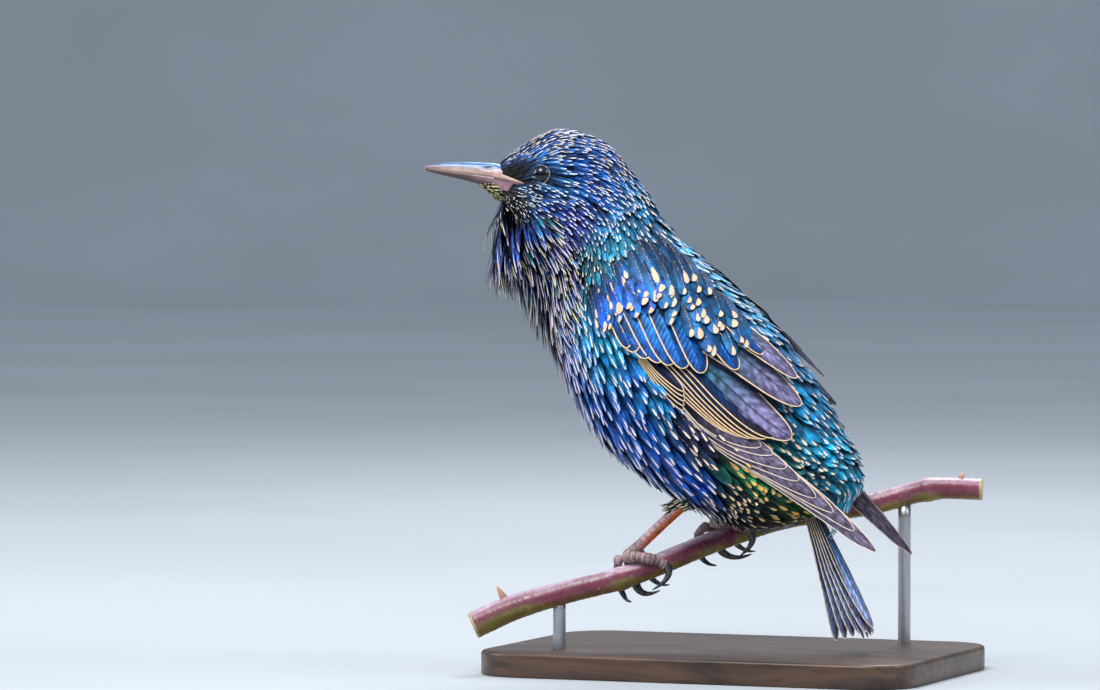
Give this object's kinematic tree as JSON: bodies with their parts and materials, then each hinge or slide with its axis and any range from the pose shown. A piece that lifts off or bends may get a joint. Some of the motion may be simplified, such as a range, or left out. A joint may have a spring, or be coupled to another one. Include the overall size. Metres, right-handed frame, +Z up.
{
  "type": "common starling",
  "caption": "Life-size model of a common starling in spotted winter plumage, gripping a short rose stem on a plain display stand.",
  "frame": {"origin": "middle of the underside of the stand's base", "axes": "+Z up, the bird faces -X, its left side faces -Y"},
  "size_m": [0.1731, 0.1, 0.179],
  "materials": {
    "body_feathers": "glossy blue, teal and violet feathers with cream tips",
    "flight_feathers": "satin blue-grey vanes with buff edges",
    "bill": "horny, lilac-brown, darker along the ridge",
    "eye": "wet gloss, dark brown",
    "leg_skin": "scaly, orange-pink to grey-pink",
    "claw": "polished dark grey horn",
    "stem_bark": "smooth young bark, mauve above and green below",
    "base_wood": "dark stained wood, satin",
    "rod_steel": "brushed"
  },
  "bodies": {
    "root": {"head": "body_feathers", "neck": "body_feathers", "torso": "body_feathers", "thigh_left": "body_feathers", "thigh_right": "body_feathers", "tail": "flight_feathers", "wing_left": "flight_feathers", "wing_right": "flight_feathers", "bill_upper": "bill", "bill_lower": "bill", "eye_left": "eye", "eye_right": "eye", "tarsus_left": "leg_skin", "tarsus_right": "leg_skin", "perch_stem": "stem_bark", "stand_base": "base_wood", "stand_rod_left": "rod_steel", "stand_rod_right": "rod_steel", "toe_left_hallux": "leg_skin", "claw_left_hallux": "claw", "toe_left_inner": "leg_skin", "claw_left_inner": "claw", "toe_left_middle": "leg_skin", "claw_left_middle": "claw", "toe_left_outer": "leg_skin", "claw_left_outer": "claw", "toe_right_hallux": "leg_skin", "claw_right_hallux": "claw", "toe_right_inner": "leg_skin", "claw_right_inner": "claw", "toe_right_middle": "leg_skin", "claw_right_middle": "claw", "toe_right_outer": "leg_skin", "claw_right_outer": "claw"}
  },
  "joints": []
}
